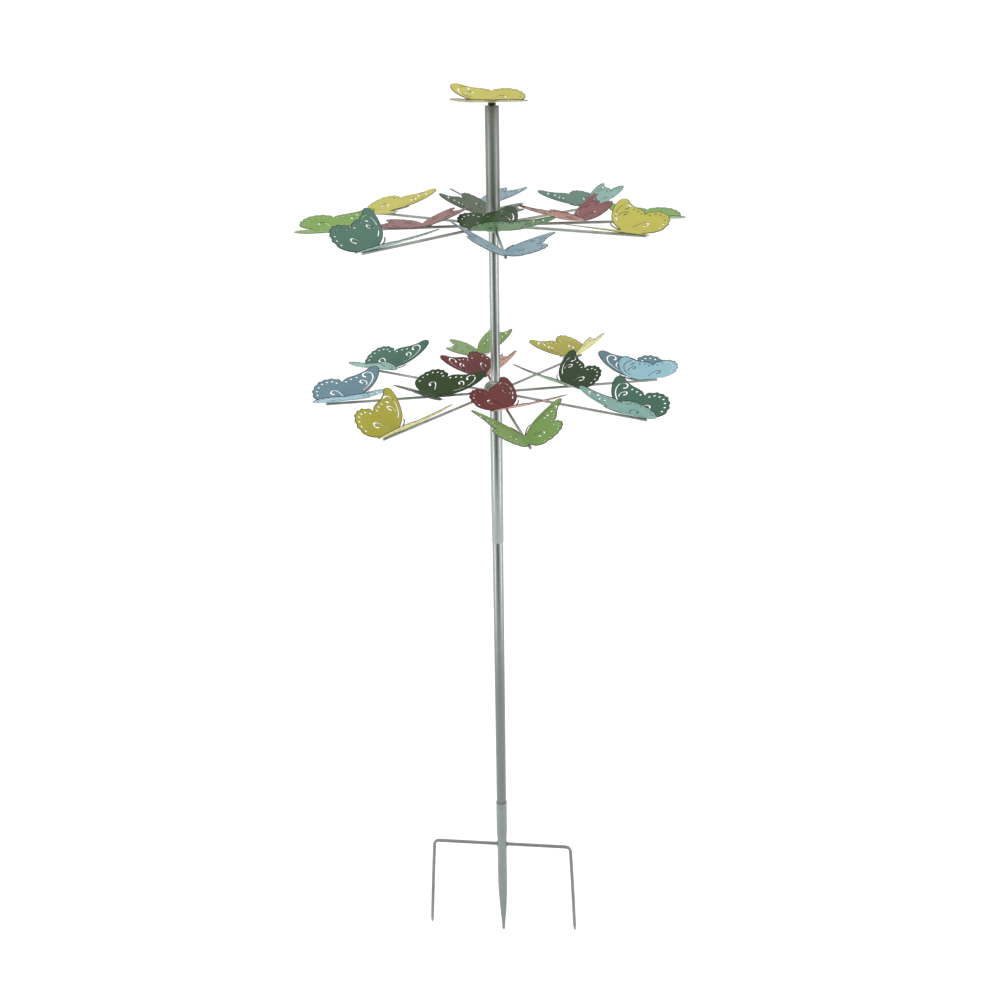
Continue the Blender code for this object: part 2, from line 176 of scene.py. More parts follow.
STAKE_GREY = (129, 138, 134)
STAKE_WORN_GREY = (122, 130, 127)
STAKE_R = 0.0107
STAKE_WALL = 0.0008
FLAT_FROM_Z = -0.110
FLAT_RATE = 1.6
POINT_FLATNESS = 0.55
POINT_LEAN = 0.0012
GAP = 0.0003  # the clearance left between neighbouring pieces


def lathe(profile, closed=False, steps=72):
    """A bmesh turned about the pole's axis from a profile of (radius, height) points."""
    work = bmesh.new()
    points = [work.verts.new((radius, 0.0, height)) for radius, height in profile]
    pairs = list(zip(points, points[1:]))
    if closed:
        pairs.append((points[-1], points[0]))
    edges = [work.edges.new(pair) for pair in pairs]
    bmesh.ops.spin(
        work,
        geom=points + edges,
        cent=(0, 0, 0),
        axis=(0, 0, 1),
        angle=2 * pi,
        steps=steps,
        use_merge=True,
    )
    bmesh.ops.remove_doubles(work, verts=work.verts, dist=0.000002)
    bmesh.ops.recalc_face_normals(work, faces=work.faces)
    return work


def ease_edges(work, width, segments=2, sharper_than=radians(40)):
    """Rounds off the edges that turn sharper than an angle."""
    sharp = [e for e in work.edges if e.is_manifold and e.calc_face_angle() > sharper_than]
    bmesh.ops.bevel(
        work,
        geom=sharp,
        offset=width,
        offset_type="OFFSET",
        segments=segments,
        profile=0.5,
        affect="EDGES",
        material=-1,
        clamp_overlap=True,
    )


def settle(name, work, finishes, body, slot, *nodes):
    """Makes the finished piece from its bmesh. It rides on a body and stands for some nodes."""
    mesh = bpy.data.meshes.new(name)
    work.to_mesh(mesh)
    work.free()
    mesh.shade_smooth()
    mesh.set_sharp_from_angle(angle=radians(38))
    piece = bpy.data.objects.new(name, mesh)
    bpy.context.scene.collection.objects.link(piece)
    for finish in finishes:
        mesh.materials.append(finish)
    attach(piece, body)
    if nodes:
        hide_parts(*nodes)


def group_of(name, inputs, outputs):
    """An empty shader group with number inputs (name, value) and outputs (name, socket type)."""
    tree = bpy.data.node_groups.new(name, "ShaderNodeTree")
    for label, value in inputs:
        socket = tree.interface.new_socket(label, in_out="INPUT", socket_type="NodeSocketFloat")
        socket.default_value = value
    for label, kind in outputs:
        tree.interface.new_socket(label, in_out="OUTPUT", socket_type=kind)
    entry = tree.nodes.new("NodeGroupInput")
    leave = tree.nodes.new("NodeGroupOutput")
    return tree, entry, leave


def maths(tree, operation, first, second):
    """A Math node on two values, each a socket or a number."""
    node = tree.nodes.new("ShaderNodeMath")
    node.operation = operation
    for socket, value in zip(node.inputs, (first, second)):
        if isinstance(value, (int, float)):
            socket.default_value = value
        else:
            tree.links.new(value, socket)
    return node.outputs[0]


def make_mottle():
    """Slow drift of tone with fine specks in it: Tone is about 1, Grain is from 0 to 1."""
    inputs = [("Drift Size", 20.0), ("Drift", 0.1), ("Speck Size", 900.0), ("Specks", 0.05)]
    outputs = [("Tone", "NodeSocketFloat"), ("Grain", "NodeSocketFloat")]
    tree, entry, leave = group_of("mottle", inputs, outputs)
    where = tree.nodes.new("ShaderNodeTexCoord").outputs["Object"]
    drift = tree.nodes.new("ShaderNodeTexNoise")
    drift.inputs["Detail"].default_value = 4.0
    specks = tree.nodes.new("ShaderNodeTexNoise")
    specks.inputs["Detail"].default_value = 2.0
    for noise, size in ((drift, "Drift Size"), (specks, "Speck Size")):
        tree.links.new(where, noise.inputs["Vector"])
        tree.links.new(entry.outputs[size], noise.inputs["Scale"])
    slow = maths(tree, "MULTIPLY", maths(tree, "SUBTRACT", drift.outputs[0], 0.5), 2.0)
    fast = maths(tree, "MULTIPLY", maths(tree, "SUBTRACT", specks.outputs[0], 0.5), 2.0)
    slow = maths(tree, "MULTIPLY", slow, entry.outputs["Drift"])
    fast = maths(tree, "MULTIPLY", fast, entry.outputs["Specks"])
    tone = maths(tree, "ADD", maths(tree, "ADD", slow, fast), 1.0)
    tree.links.new(tone, leave.inputs["Tone"])
    tree.links.new(specks.outputs[0], leave.inputs["Grain"])
    return tree


MOTTLE = make_mottle()


def add_mottle(nodes, drift_size, drift, speck_size, specks):
    group = nodes.new("ShaderNodeGroup")
    group.node_tree = MOTTLE
    values = (drift_size, drift, speck_size, specks)
    for socket, value in zip(group.inputs, values):
        socket.default_value = value
    return group


def tinted(tree, colour, tone):
    """A colour, as a socket or a screen colour, multiplied by a tone."""
    scale = tree.nodes.new("ShaderNodeVectorMath")
    scale.operation = "SCALE"
    if isinstance(colour, tuple):
        scale.inputs[0].default_value = linear(colour)
    else:
        tree.links.new(colour, scale.inputs[0])
    tree.links.new(tone, scale.inputs["Scale"])
    return scale.outputs[0]


def bump_from(tree, height, shader, strength, distance):
    bump = tree.nodes.new("ShaderNodeBump")
    bump.inputs["Strength"].default_value = strength
    bump.inputs["Distance"].default_value = distance
    tree.links.new(height, bump.inputs["Height"])
    tree.links.new(bump.outputs["Normal"], shader.inputs["Normal"])


def height_ramp(tree, low, high):
    """A value that goes from 0 at one height to 1 at another, ragged by a little noise."""
    where = tree.nodes.new("ShaderNodeTexCoord").outputs["Object"]
    split = tree.nodes.new("ShaderNodeSeparateXYZ")
    tree.links.new(where, split.inputs[0])
    ragged = tree.nodes.new("ShaderNodeTexNoise")
    ragged.inputs["Scale"].default_value = 60.0
    ragged.inputs["Detail"].default_value = 5.0
    tree.links.new(where, ragged.inputs["Vector"])
    shift = maths(tree, "MULTIPLY", maths(tree, "SUBTRACT", ragged.outputs[0], 0.5), 0.08)
    span = tree.nodes.new("ShaderNodeMapRange")
    span.inputs["From Min"].default_value = low
    span.inputs["From Max"].default_value = high
    tree.links.new(maths(tree, "ADD", split.outputs["Z"], shift), span.inputs["Value"])
    return span.outputs[0]


def blend_colours(tree, factor, first, second):
    """Mixes two colours, each a socket or a screen colour."""
    mix = tree.nodes.new("ShaderNodeMix")
    mix.data_type = "RGBA"
    tree.links.new(factor, mix.inputs["Factor"])
    for socket, colour in ((mix.inputs["A"], first), (mix.inputs["B"], second)):
        if isinstance(colour, tuple):
            socket.default_value = (*linear(colour), 1.0)
        else:
            tree.links.new(colour, socket)
    return mix.outputs["Result"]


def make_stake_paint():
    """Matt silver-grey paint, thin and dull where the steel goes into the ground."""
    material, nodes, links, shader = new_finish("stake_paint", STAKE_GREY, 0.5, 0.35)
    tree = material.node_tree
    mottle = add_mottle(nodes, 35.0, 0.12, 1400.0, 0.10)
    worn = height_ramp(tree, 0.0, -0.26)
    colour = blend_colours(tree, worn, STAKE_GREY, STAKE_WORN_GREY)
    links.new(tinted(tree, colour, mottle.outputs["Tone"]), shader.inputs["Base Color"])
    rough = maths(tree, "MULTIPLY", mottle.outputs["Grain"], 0.35)
    links.new(maths(tree, "ADD", rough, 0.36), shader.inputs["Roughness"])
    bump_from(tree, mottle.outputs["Grain"], shader, 0.12, 0.0004)
    return material


def make_stake():
    """The tube in one turned shape, then pressed flatter below FLAT_FROM_Z."""
    low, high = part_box("ground_stake")
    mouth = (high.x - low.x) / 2
    bore = mouth - STAKE_WALL
    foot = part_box("pole_middle")[0].z
    profile = [
        (0.0, foot - 0.052),
        (STAKE_R - STAKE_WALL, foot - 0.052),
        (STAKE_R - STAKE_WALL, foot - 0.011),
        (bore, foot - GAP),
        (bore, high.z),
        (mouth, high.z),
        (mouth, foot + 0.012),
        (mouth - 0.0003, foot + 0.004),
        (STAKE_R + 0.0003, foot - 0.008),
        (STAKE_R, foot - 0.016),
        (STAKE_R, -0.060),
        (STAKE_R, -0.120),
        (0.0104, -0.136),
        (0.0096, -0.154),
        (0.0084, -0.178),
        (0.0071, -0.200),
        (0.0054, -0.222),
        (0.0041, -0.238),
        (0.0036, -0.247),
        (0.0035, -0.254),
        (0.0030, low.z + 0.0030),
        (0.0020, low.z + 0.0010),
        (0.0, low.z),
    ]
    work = lathe(profile)
    for vertex in work.verts:
        below = max(0.0, (FLAT_FROM_Z - vertex.co.z) / (FLAT_FROM_Z - low.z))
        flat = min(1.0, FLAT_RATE * below)
        vertex.co.y *= 1.0 - POINT_FLATNESS * flat
        vertex.co.x += POINT_LEAN * flat
    ease_edges(work, 0.0002)
    settle("stake_tube", work, [STAKE_PAINT], "stand", "stake_grey", "ground_stake")


STAKE_PAINT = make_stake_paint()
make_stake()


# ------------------------------------------------------------------ step fork
# One steel rod that runs across the stake to step on. Its ends are bent down in a press, which
# flattens the bends a little, splayed, and ground to points. It passes through the stake and
# is welded on both sides.

FORK_R = 0.0038
FORK_HALF = 0.159
FORK_BEND = 0.012
FORK_SPLAY = 0.014
FORK_PRESS = 0.16
FORK_GREY = (118, 121, 119)
FORK_RUBBED_GREY = (134, 136, 133)
WELD_BEADS = 14
BEAD_R = 0.0016


def swept(stations, sides):
    """A closed rod through stations: (place matrix, half width, half height) of each section."""
    work = bmesh.new()

    def shape(station):
        place, wide, high = station
        return place @ Matrix.Diagonal((wide, high, 1.0, 1.0))

    bmesh.ops.create_circle(work, cap_ends=True, segments=sides, radius=1.0)
    bmesh.ops.transform(work, verts=work.verts, matrix=shape(stations[0]))
    face = work.faces[:][0]
    for before, after in zip(stations, stations[1:]):
        made = bmesh.ops.extrude_discrete_faces(work, faces=[face])
        face = made["faces"][0]
        step = shape(after) @ shape(before).inverted()
        bmesh.ops.transform(work, verts=face.verts[:], matrix=step)
    bmesh.ops.recalc_face_normals(work, faces=work.faces)
    return work


def along(points, sizes):
    """Stations along a line of points in the XZ plane, square to it, from (width, height) pairs."""
    stations = []
    for i, (x, z) in enumerate(points):
        x0, z0 = points[max(i - 1, 0)]
        x1, z1 = points[min(i + 1, len(points) - 1)]
        lean = atan2(x1 - x0, z1 - z0)
        place = Matrix.Translation((x, 0, z)) @ Matrix.Rotation(lean, 4, "Y")
        stations.append((place, *sizes[i]))
    return stations


def make_fork_paint():
    """The stake's paint, darker on the thin rod and rubbed brighter towards the points."""
    material, nodes, links, shader = new_finish("fork_paint", STAKE_GREY, 0.45, 0.45)
    tree = material.node_tree
    mottle = add_mottle(nodes, 45.0, 0.16, 1600.0, 0.12)
    worn = height_ramp(tree, -0.16, -0.26)
    colour = blend_colours(tree, worn, FORK_GREY, FORK_RUBBED_GREY)
    links.new(tinted(tree, colour, mottle.outputs["Tone"]), shader.inputs["Base Color"])
    bump_from(tree, mottle.outputs["Grain"], shader, 0.15, 0.0004)
    return material


def make_fork():
    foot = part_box("step_fork")[0].z
    lean = FORK_SPLAY / -foot
    half = [(0.004, 0.0), (0.060, 0.0)]
    sizes = [(FORK_R, FORK_R), (FORK_R, FORK_R)]
    bend_steps = 8
    for i in range(bend_steps + 1):
        angle = pi / 2 * i / bend_steps
        half.append((
            FORK_HALF - FORK_BEND * (1 - sin(angle)),
            -FORK_BEND * (1 - cos(angle)),
        ))
        press = FORK_PRESS * sin(2 * angle)
        sizes.append((FORK_R * (1 - press), FORK_R * (1 + press)))
    prong = [
        (-0.10, 1.0),
        (foot + 0.018, 1.0),
        (foot + 0.006, 0.72),
        (foot + 0.001, 0.42),
        (foot, 0.22),
    ]
    for height, size in prong:
        half.append((FORK_HALF - lean * height, height))
        sizes.append((FORK_R * size, FORK_R * size))
    points = [(-x, z) for x, z in reversed(half)] + half
    work = swept(along(points, list(reversed(sizes)) + sizes), 20)
    settle("step_fork_rod", work, [FORK_PAINT], "stand", "stake_grey", "step_fork")


def make_weld_beads():
    """A ring of weld round the rod on each side of the stake, uneven as hand work is."""
    work = bmesh.new()
    for side in (-1, 1):
        for k in range(WELD_BEADS):
            angle = 2 * pi * k / WELD_BEADS
            reach = FORK_R + 0.0006
            swell = BEAD_R + 0.0003 * sin(5 * angle + side)
            place = Matrix.Translation((
                side * (STAKE_R + 0.0004 * cos(3 * angle)),
                reach * cos(angle) * 1.02,
                reach * sin(angle),
            ))
            bmesh.ops.create_icosphere(work, subdivisions=1, radius=swell, matrix=place)
    settle("fork_welds", work, [FORK_PAINT], "stand", "stake_grey")


FORK_PAINT = make_fork_paint()
make_fork()
make_weld_beads()


# ------------------------------------------------------------------ pole
# Two lengths of drawn steel tube in a satin silver finish. The lower one stands in the stake's
# mouth, and the wider upper one slips over its top and carries the bearing of the lower wheel.

POLE_SILVER = (150, 156, 152)
# Painted shade: the darker colour the tube is painted towards its foot, standing in for the lamps'
# reflections fading lower down.
POLE_PAINTED_SHADE = (114, 121, 117)
MIDDLE_WALL = 0.0012
UPPER_WALL = 0.0007


def make_pole_silver():
    """Satin steel with fine lines along the tube and faint smears, painted darker lower down as
    painted shade where the lamps' reflections fade.
    """
    material, nodes, links, shader = new_finish("pole_silver", POLE_SILVER, 0.3, 0.9)
    tree = material.node_tree
    where = nodes.new("ShaderNodeTexCoord").outputs["Object"]
    stretch = nodes.new("ShaderNodeMapping")
    stretch.inputs["Scale"].default_value = (1.0, 1.0, 0.015)
    links.new(where, stretch.inputs["Vector"])
    lines = nodes.new("ShaderNodeTexNoise")
    lines.inputs["Scale"].default_value = 1500.0
    lines.inputs["Detail"].default_value = 3.0
    links.new(stretch.outputs[0], lines.inputs["Vector"])
    mottle = add_mottle(nodes, 14.0, 0.10, 700.0, 0.04)
    # Painted shade: the tube's colour darkens from 0.78 m down to 0.42 m, in place of the fading
    # reflections of the lamps.
    painted_shade_colour = blend_colours(tree, height_ramp(tree, 0.78, 0.42), POLE_SILVER, POLE_PAINTED_SHADE)
    links.new(tinted(tree, painted_shade_colour, mottle.outputs["Tone"]), shader.inputs["Base Color"])
    rough = maths(tree, "MULTIPLY", lines.outputs[0], 0.16)
    links.new(maths(tree, "ADD", rough, 0.20), shader.inputs["Roughness"])
    bump_from(tree, lines.outputs[0], shader, 0.10, 0.0002)
    return material


def make_tube(name, node, wall, finish, body="stand"):
    """A drawn tube with eased ends, the size of its node."""
    low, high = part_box(node)
    outer = (high.x - low.x) / 2
    profile = [(outer - wall, low.z), (outer - wall, high.z), (outer, high.z), (outer, low.z)]
    work = lathe(profile, closed=True, steps=96)
    ease_edges(work, 0.00025)
    settle(name, work, [finish], body, "pole_silver", node)


POLE = make_pole_silver()
make_tube("middle_tube", "pole_middle", MIDDLE_WALL, POLE)
make_tube("upper_tube", "pole_upper", UPPER_WALL, POLE)


# ------------------------------------------------------------------ lower bearing and spindle
# A steel plug closes the upper tube's mouth and holds the spindle, a thinner tube on which both
# wheels turn. A brass washer on the plug takes the lower wheel's weight. The spindle's top has a
# plug with a hardened pin, on which the upper wheel's ball runs.

SHOULDER_SHANK_R = 0.0110
WASHER_BORE_R = 0.0096
SPINDLE_WALL = 0.0012


def make_turned_metal(name, colour, roughness):
    """Bare metal off the lathe, with rings round it and a dull bloom in patches."""
    material, nodes, links, shader = new_finish(name, colour, roughness, 1.0)
    tree = material.node_tree
    where = nodes.new("ShaderNodeTexCoord").outputs["Object"]
    rings = nodes.new("ShaderNodeTexWave")
    rings.wave_type = "RINGS"
    rings.rings_direction = "Z"
    rings.inputs["Scale"].default_value = 900.0
    rings.inputs["Distortion"].default_value = 1.5
    links.new(where, rings.inputs["Vector"])
    mottle = add_mottle(nodes, 120.0, 0.15, 2500.0, 0.05)
    links.new(tinted(tree, colour, mottle.outputs["Tone"]), shader.inputs["Base Color"])
    rough = maths(tree, "MULTIPLY", mottle.outputs["Grain"], 0.2)
    links.new(maths(tree, "ADD", rough, roughness - 0.1), shader.inputs["Roughness"])
    bump_from(tree, rings.outputs["Fac"], shader, 0.08, 0.0001)
    return material


def make_shoulder():
    low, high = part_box("shoulder_plug")
    rim = (high.x - low.x) / 2
    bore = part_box("spindle_tube")[1].x + GAP
    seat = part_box("pole_upper")[1].z + GAP
    profile = [
        (bore, low.z),
        (bore, high.z),
        (rim - 0.0010, high.z),
        (rim, high.z - 0.0016),
        (rim, seat),
        (SHOULDER_SHANK_R, seat),
        (SHOULDER_SHANK_R, low.z),
    ]
    work = lathe(profile, closed=True)
    ease_edges(work, 0.0002)
    settle("spindle_shoulder", work, [POLE], "stand", "pole_silver", "shoulder_plug")


def make_washer():
    low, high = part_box("thrust_washer")
    rim = (high.x - low.x) / 2
    bore = WASHER_BORE_R
    work = lathe([(bore, low.z), (bore, high.z), (rim, high.z), (rim, low.z)], closed=True)
    ease_edges(work, 0.0003)
    settle("brass_washer", work, [BRASS], "stand", "brass", "thrust_washer")


def dress(node, finish):
    """Gives a node that keeps its own shape a finish."""
    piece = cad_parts[node]
    piece.data.materials.clear()
    piece.data.materials.append(finish)
    piece.data.shade_smooth()
    piece.data.set_sharp_from_angle(angle=radians(38))


BRASS = make_turned_metal("turned_brass", (176, 148, 92), 0.35)
BRIGHT = make_turned_metal("ground_steel", (190, 192, 194), 0.22)
make_shoulder()
make_washer()
make_tube("spindle", "spindle_tube", SPINDLE_WALL, POLE)
dress("spindle_plug", BRIGHT)
dress("pivot_pin", BRIGHT)
dress("bearing_ball", BRIGHT)


# ------------------------------------------------------------------ wheel hubs
# Each hub is a turned steel boss with a domed top, drilled round its side for the spokes, which
# are pushed in and brazed. Inside it is a nylon bushing. It has a grey paint like the stake's.

SPOKES = 8
SPOKE_R = 0.0025
SPOKE_INNER = 0.0165
SPOKE_OUTER = 0.3225
# Each wheel's height and how far its first spoke is turned from +X.
WHEELS = {
    "lower": (1.092, radians(15.4)),
    "upper": (1.405, radians(10.2)),
}
HUB_BORES = {"lower": 0.0124, "upper": 0.0130}
HUB_WAIST = 0.0035
HUB_LIP = 0.0015
HUB_GREY = (128, 134, 130)
NYLON_WHITE = (214, 214, 204)


def make_hub_paint():
    material, nodes, links, shader = new_finish("hub_paint", HUB_GREY, 0.38, 0.4)
    tree = material.node_tree
    mottle = add_mottle(nodes, 60.0, 0.14, 1500.0, 0.08)
    links.new(tinted(tree, HUB_GREY, mottle.outputs["Tone"]), shader.inputs["Base Color"])
    rough = maths(tree, "MULTIPLY", mottle.outputs["Grain"], 0.3)
    links.new(maths(tree, "ADD", rough, 0.26), shader.inputs["Roughness"])
    bump_from(tree, mottle.outputs["Grain"], shader, 0.12, 0.0003)
    return material


def make_nylon():
    material, nodes, links, shader = new_finish("nylon", NYLON_WHITE, 0.45)
    tree = material.node_tree
    mottle = add_mottle(nodes, 90.0, 0.05, 1800.0, 0.04)
    links.new(tinted(tree, NYLON_WHITE, mottle.outputs["Tone"]), shader.inputs["Base Color"])
    shader.inputs["Subsurface Weight"].default_value = 0.1
    shader.inputs["Subsurface Radius"].default_value = (0.002, 0.002, 0.002)
    bump_from(tree, mottle.outputs["Grain"], shader, 0.05, 0.0002)
    return material


def make_hub(tier):
    low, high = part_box(f"{tier}_hub")
    rim = (high.x - low.x) / 2
    bore = HUB_BORES[tier]
    profile = [(bore, low.z), (bore, high.z)]
    waist = WHEELS[tier][0] + HUB_WAIST
    lip = bore + HUB_LIP
    dome_steps = 10
    for i in range(dome_steps + 1):
        angle = pi / 2 * i / dome_steps
        profile.append((lip + (rim - lip) * sin(angle), waist + (high.z - waist) * cos(angle)))
    profile.append((rim, low.z))
    work = lathe(profile, closed=True, steps=96)
    ease_edges(work, 0.0008, segments=3)
    settle(f"{tier}_boss", work, [HUB_PAINT], f"{tier}_wheel", "hub_grey", f"{tier}_hub")


HUB_PAINT = make_hub_paint()
NYLON = make_nylon()
make_hub("lower")
make_hub("upper")
dress("lower_bushing", NYLON)
dress("upper_bushing", NYLON)


# ------------------------------------------------------------------ spokes
# Straight lengths of drawn steel wire, cropped square, left bare under a thin grey wash that has
# gone dull and brownish in places. A braze fillet holds each one in the hub.

SPOKE_GREY = (136, 142, 136)
SPOKE_STAINED = (116, 116, 106)
# How far each spoke is turned from its even place and lifted at its end, in degrees.
SPOKE_SETS = {
    "lower": ((0, 0.7), (0, 0.2), (-3, 0), (0, -0.4), (0, -0.4), (-1, -0.3), (0, 0), (0, 0.2)),
    "upper": ((0, 0.1), (0, 0.2), (0, 0), (0, 0), (0, -0.6), (0, -1.4), (-1.5, -0.8), (0, 1.4)),
}


def make_spoke_steel():
    """Dull drawn wire with a darker bloom."""
    material, nodes, links, shader = new_finish("spoke_steel", SPOKE_GREY, 0.45, 0.3)
    tree = material.node_tree
    mottle = add_mottle(nodes, 70.0, 0.20, 1800.0, 0.12)
    stain = nodes.new("ShaderNodeTexNoise")
    stain.inputs["Scale"].default_value = 30.0
    stain.inputs["Detail"].default_value = 6.0
    links.new(nodes.new("ShaderNodeTexCoord").outputs["Object"], stain.inputs["Vector"])
    patchy = nodes.new("ShaderNodeMapRange")
    patchy.inputs["From Min"].default_value = 0.45
    patchy.inputs["From Max"].default_value = 0.75
    links.new(stain.outputs[0], patchy.inputs["Value"])
    colour = blend_colours(tree, patchy.outputs[0], SPOKE_GREY, SPOKE_STAINED)
    links.new(tinted(tree, colour, mottle.outputs["Tone"]), shader.inputs["Base Color"])
    bump_from(tree, mottle.outputs["Grain"], shader, 0.12, 0.0003)
    return material


def spoke_place(tier, k):
    """The matrix that takes +X out along a spoke, at its wheel's height."""
    height, turn = WHEELS[tier]
    yaw, lift = SPOKE_SETS[tier][k]
    angle = turn + k * 2 * pi / SPOKES + radians(yaw)
    hub = Matrix.Translation((0, 0, height)) @ Matrix.Rotation(angle, 4, "Z")
    return hub @ Matrix.Rotation(-radians(lift), 4, "Y")


def make_spoke(tier, k):
    """One wire with its fillet at the hub."""
    work = bmesh.new()
    reach = SPOKE_OUTER - SPOKE_INNER
    lay = Matrix.Translation((SPOKE_INNER + reach / 2, 0, 0)) @ Matrix.Rotation(pi / 2, 4, "Y")
    bmesh.ops.create_cone(
        work,
        cap_ends=True,
        segments=20,
        radius1=SPOKE_R,
        radius2=SPOKE_R,
        depth=reach,
        matrix=lay,
    )
    ease_edges(work, 0.0004)
    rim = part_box(f"{tier}_hub")[1].x
    fillet = [(rim - 0.0004, 0.0042), (rim + 0.0006, 0.0034), (rim + 0.0022, SPOKE_R + 0.00015)]
    points = [work.verts.new((x, radius, 0.0)) for x, radius in fillet]
    edges = [work.edges.new(pair) for pair in zip(points, points[1:])]
    bmesh.ops.spin(
        work,
        geom=points + edges,
        cent=(0, 0, 0),
        axis=(1, 0, 0),
        angle=2 * pi,
        steps=16,
        use_merge=True,
    )
    bmesh.ops.transform(work, verts=work.verts, matrix=spoke_place(tier, k))
    name = f"{tier}_wire_{k + 1}"
    node = f"{tier}_spoke_{k + 1}"
    settle(name, work, [SPOKE_STEEL], f"{tier}_wheel", "spoke_grey", node)


SPOKE_STEEL = make_spoke_steel()
for tier in WHEELS:
    for k in range(SPOKES):
        make_spoke(tier, k)


# ------------------------------------------------------------------ butterflies
# Each butterfly is one blank of 1 mm steel sheet, cut with its feelers, scrolls and rows of dots,
# folded up by hand along its body and spot welded to a spoke by the fold. It is powder coated,
# and the coat is thinner and darker at the cut edges.

SHEET = 0.0010
SEAT_HEIGHT = SPOKE_R + GAP + SHEET * 0.6
OUTER_HEADING = pi
INNER_HEADING = radians(110)

# Half of the flat blank in millimetres, (forward, sideways) from the middle of the fold, from
# the feeler's root round the forewing to the notch. The last item says if it turns a corner.
FOREWING = [
    (14.5, 3.0, True),
    (31, 12.5, False),
    (47, 25, False),
    (58.5, 40, False),
    (67.5, 58, False),
    (71.5, 74, False),
    (70, 85, False),
    (62, 88.5, False),
    (54, 85.5, False),
    (45.5, 78.5, False),
    (36, 73, False),
    (26, 68.5, False),
    (13, 64.5, False),
    (4, 60, False),
    (-2.5, 52.5, True),
]
# The hindwing's edge bulges a little round each of its dots.
HIND_FIRST = (-6, 60.5)
HIND_DOTS = [
    (-12.5, 51.5),
    (-20.5, 56.5),
    (-30.5, 56),
    (-40, 52),
    (-47, 43.5),
    (-51, 33.5),
    (-50.5, 23),
]
HIND_FIRST_BULGE = 10.5
HIND_BULGE = 9.3
HIND_DIP = 1.6
HIND_MIDDLE = (-16, 28)
HIND_LAST = [(-50, 9), (-39, 3.5)]
TAIL = (-30, 0)
HEAD = (12.5, 0)
FORE_DOTS = [(5.5, 52.5), (15.5, 58), (26.5, 61.5)]
DOT_R = 2.1
# The scrolls: the line that each one's cut follows, from its round eye to its thin end.
LONG_SCROLL = [
    (44, 60.5),
    (39.5, 63),
    (39.5, 69.5),
    (47, 73.5),
    (55.5, 69.5),
    (57.5, 59),
    (53.5, 46.5),
    (45, 34),
    (35, 25),
]
SHORT_SCROLL = [(36, 44.5), (31.8, 47.8), (34, 53), (41, 51), (44.5, 44.5), (42.5, 38.5)]
HIND_SCROLL = [(-19.5, 20.5), (-25, 23.5), (-23.5, 30), (-16.5, 31), (-10, 25), (-3.5, 14)]
SCROLLS = [LONG_SCROLL, SHORT_SCROLL, HIND_SCROLL]
SCROLL_HALF = 1.6
SCROLL_TAPER = 0.8
EYE_SWELL = 0.4
EYE_REACH = 1.3
END_REACH = 0.6
RIM_BAND = 0.0018
FEELER = [(14.5, 2.4), (24, 5.0), (33.5, 8.8), (41, 13.5), (45.5, 19.5)]
FEELER_HALF = 0.00105
FEELER_ROOT_HALF = 0.0016


def smooth_loop(items, samples):
    """Points on a closed curve through the items, which may turn corners."""
    curve = bpy.data.curves.new("edge", "CURVE")
    curve.dimensions = "2D"
    curve.fill_mode = "NONE"
    curve.resolution_u = samples
    spline = curve.splines.new("BEZIER")
    spline.use_cyclic_u = True
    spline.bezier_points.add(len(items) - 1)
    for point, (x, y, corner) in zip(spline.bezier_points, items):
        point.co = (x / 1000, y / 1000, 0.0)
        kind = "VECTOR" if corner else "AUTO"
        point.handle_left_type = kind
        point.handle_right_type = kind
    holder = bpy.data.objects.new("edge", curve)
    bpy.context.scene.collection.objects.link(holder)
    bpy.context.view_layer.update()
    mesh = bpy.data.meshes.new_from_object(holder.evaluated_get(bpy.context.evaluated_depsgraph_get()))
    bpy.data.objects.remove(holder, do_unlink=True)
    return mesh


def hind_edge():
    """The hindwing's edge from the notch to the tail: a bulge at each dot, a dip between."""
    middle = Vector(HIND_MIDDLE)
    dots = [Vector(dot) for dot in HIND_DOTS]
    edge = [(*HIND_FIRST, False)]
    for i, dot in enumerate(dots):
        out = (dot - middle).normalized()
        reach = HIND_FIRST_BULGE if i == 0 else HIND_BULGE
        edge.append((*(dot + out * reach), False))
        if i + 1 < len(dots):
            half = (dot + dots[i + 1]) / 2
            edge.append((*(half + (half - middle).normalized() * (reach - HIND_DIP)), False))
    return edge + [(x, y, False) for x, y in HIND_LAST]


def blank_outline():
    """The whole blank's edge: tail, right hindwing and forewing, head, and the left side back."""
    left = FOREWING + hind_edge()
    right = [(x, -y, corner) for x, y, corner in reversed(left)]
    return [(*TAIL, True)] + right + [(*HEAD, False)] + left


def scroll_outline(line):
    """The closed edge of a scroll's cut: round and wide at its eye, thin at its end."""
    steps = 6
    dense = []
    for i in range(len(line) - 1):
        p0, p1, p2, p3 = (Vector(line[min(max(i + j, 0), len(line) - 1)]) for j in (-1, 0, 1, 2))
        for j in range(steps):
            t = j / steps
            dense.append(0.5 * (
                2 * p1
                + (p2 - p0) * t
                + (2 * p0 - 5 * p1 + 4 * p2 - p3) * t ** 2
                + (3 * p1 - p0 - 3 * p2 + p3) * t ** 3
            ))
    dense.append(Vector(line[-1]))
    left, right = [], []
    for i, point in enumerate(dense):
        t = i / (len(dense) - 1)
        ahead = (dense[min(i + 1, len(dense) - 1)] - dense[max(i - 1, 0)]).normalized()
        side = Vector((-ahead.y, ahead.x))
        half = SCROLL_HALF - SCROLL_TAPER * t + EYE_SWELL * max(0.0, 1 - 6 * t)
        left.append(point + side * half)
        right.append(point - side * half)
    back = (dense[0] - dense[1]).normalized()
    eye = [dense[0] + back * EYE_REACH]
    front = (dense[-1] - dense[-2]).normalized()
    end = [dense[-1] + front * END_REACH]
    return eye + left + end + list(reversed(right))


def add_ring(work, points):
    """A closed ring of new edges through the points."""
    ring = [work.verts.new(point) for point in points]
    return [work.edges.new(pair) for pair in zip(ring, ring[1:] + ring[:1])]


